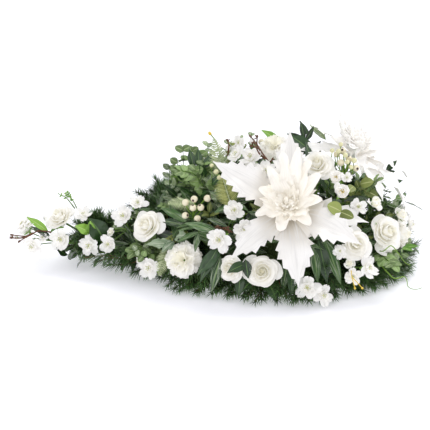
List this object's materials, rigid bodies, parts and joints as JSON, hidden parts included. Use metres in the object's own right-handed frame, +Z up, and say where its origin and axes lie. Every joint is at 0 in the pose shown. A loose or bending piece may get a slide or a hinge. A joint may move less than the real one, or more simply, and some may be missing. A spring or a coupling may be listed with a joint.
{
  "type": "teardrop funeral arrangement",
  "caption": "Low teardrop arrangement of artificial white flowers, berries and foliage that rises from a thin tail to a domed round head on a flat backing board.",
  "frame": {"origin": "centre of the arrangement's outline on the surface that it stands on, under the backing board", "axes": "+X from the thin tail to the round head, +Y to the back, away from the large front flower, +Z up"},
  "size_m": [0.7817, 0.4779, 0.2969],
  "materials": {
    "board": "matt moulded tray",
    "foam": "dry green foam",
    "petal": "matt white textile petals",
    "bract": "velvety white textile",
    "cream": "matt cream textile",
    "berry": "satin cream berries",
    "leaf": "coated dark green textile",
    "sage": "matt grey-green textile",
    "fir": "matt cut plastic needles"
  },
  "bodies": {
    "root": {"large_flower_front_middle": "cream", "large_flower_front_bracts": "bract", "large_flower_back_middle": "cream", "large_flower_back_bracts": "bract", "rose_top": "petal", "carnation_top": "petal", "rose_neck": "petal", "rose_front": "petal", "rose_front_side": "petal", "rose_under_petal": "petal", "rose_right": "petal", "rose_right_side": "petal", "rose_tail": "petal", "carnation_neck": "petal", "rose_back_left": "petal", "rose_back": "petal", "rose_back_right": "petal", "large_flower_front_stem": "leaf", "large_flower_back_stem": "leaf", "stem_top": "leaf", "stem_neck": "leaf", "stem_front": "leaf", "stem_under_petal": "leaf", "stem_right": "leaf", "stem_tail": "leaf", "stem_carnation": "leaf", "stem_back_left": "leaf", "stem_back": "leaf", "blossom_middle": "petal", "blossom_top": "petal", "blossom_neck": "petal", "blossom_hem": "petal", "blossom_right_low": "petal", "blossom_tail": "petal", "blossom_tail_tip": "petal", "blossom_right_rim": "petal", "blossom_back_left": "petal", "blossom_back": "petal", "berries_front": "berry", "berries_top": "berry", "berries_back": "berry", "ranunculus": "petal", "fern_top": "sage", "fern_left": "sage", "fern_neck": "sage", "eucalyptus_left": "sage", "eucalyptus_neck": "sage", "eucalyptus_right": "sage", "eucalyptus_hem": "sage", "eucalyptus_back": "sage", "lance_leaves": "leaf", "top_leaves": "leaf", "fir_tail": "fir", "fir_shoulder": "fir", "fir_front": "fir", "fir_right": "fir", "fir_right_back": "fir", "fir_back": "fir", "foam_core": "foam", "backing_board": "board"}
  },
  "joints": []
}
